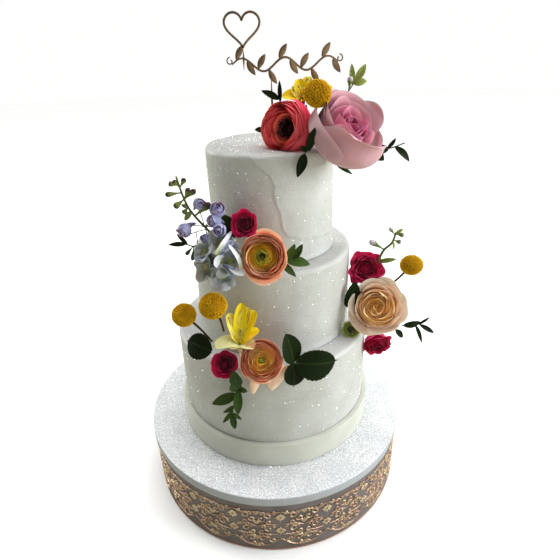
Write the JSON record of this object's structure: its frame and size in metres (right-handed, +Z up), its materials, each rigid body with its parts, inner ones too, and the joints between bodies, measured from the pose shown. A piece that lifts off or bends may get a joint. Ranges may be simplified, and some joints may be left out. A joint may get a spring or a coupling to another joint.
{
  "type": "tiered wedding cake on a stand",
  "caption": "Round tiered wedding cake in smooth white icing, dressed with fresh flowers and a cut-out topper, on its board and a low lace-covered drum stand.",
  "frame": {"origin": "centre of the stand's round underside", "axes": "+Z up through the middle of the tiers; -Y is the front, which carries the flowers; +X is to the right seen from the front"},
  "size_m": [0.4086, 0.377, 0.6301],
  "materials": {
    "icing": "smooth buttercream with fine grain, knife marks and edible glitter",
    "ribbon": "plain pale band with a faint fabric rib",
    "board": "white foil paper with a fine sparkling grain",
    "drum": "mauve-brown satin paint",
    "lace": "champagne gold pressed lace",
    "topper": "dark bronze mirror card",
    "red_petals": "coral red petals with dark creases",
    "pink_petals": "pale to mid pink satin petals",
    "orange_petals": "peach orange petals, golden inside",
    "cream_petals": "cream peach petals",
    "magenta_petals": "deep magenta velvety petals",
    "lilac_petals": "silvery lilac blue petals",
    "yellow_petals": "clear yellow petals with brown flecks",
    "yellow_balls": "mustard yellow florets with a dark stipple",
    "dark_leaves": "very dark green leaves, slightly glossy",
    "green_leaves": "mid green leaves, slightly glossy",
    "bud_green": "olive green stems and buds"
  },
  "bodies": {
    "root": {"base_ribbon": "ribbon", "bottom_tier": "icing", "cake_board": "board", "low_alstroemeria": "yellow_petals", "low_left_craspedia": "yellow_balls", "low_left_rose_leaf": "dark_leaves", "low_loose_petal_1": "cream_petals", "low_loose_petal_2": "cream_petals", "low_magenta_rose": "magenta_petals", "low_orange_ranunculus": "orange_petals", "low_right_craspedia": "yellow_balls", "low_rose_leaf_spray": "dark_leaves", "low_ruscus_sprig": "dark_leaves", "mid_back_leaf": "dark_leaves", "mid_crimson_rose": "magenta_petals", "mid_dark_leaf": "dark_leaves", "mid_delphinium_bud_1": "lilac_petals", "mid_delphinium_bud_2": "lilac_petals", "mid_delphinium_bud_3": "lilac_petals", "mid_delphinium_bud_4": "lilac_petals", "mid_delphinium_bud_5": "lilac_petals", "mid_delphinium_bud_6": "lilac_petals", "mid_delphinium_stem": "bud_green", "mid_hydrangea_1": "lilac_petals", "mid_hydrangea_2": "lilac_petals", "mid_hydrangea_3": "lilac_petals", "mid_hydrangea_4": "lilac_petals", "mid_hydrangea_5": "lilac_petals", "mid_leaf_sprig": "green_leaves", "mid_peach_ranunculus": "orange_petals", "mid_twig": "dark_leaves", "middle_tier": "icing", "right_bud_sprig": "bud_green", "right_craspedia": "yellow_balls", "right_green_bud": "bud_green", "right_leaf_sprig": "dark_leaves", "right_lower_magenta_rose": "magenta_petals", "right_peach_rose": "cream_petals", "right_rose_leaf": "dark_leaves", "right_small_leaf": "dark_leaves", "right_upper_magenta_rose": "magenta_petals", "stand_drum": "drum", "stand_lace_band": "lace", "top_alstroemeria": "yellow_petals", "top_bud_sprig": "bud_green", "top_craspedia": "yellow_balls", "top_front_sprig": "dark_leaves", "top_left_leaf": "dark_leaves", "top_left_sprig": "dark_leaves", "top_pink_rose": "pink_petals", "top_red_ranunculus": "red_petals", "top_right_sprig": "dark_leaves", "top_tier": "icing", "top_under_leaf": "green_leaves", "topper": "topper"}
  },
  "joints": []
}
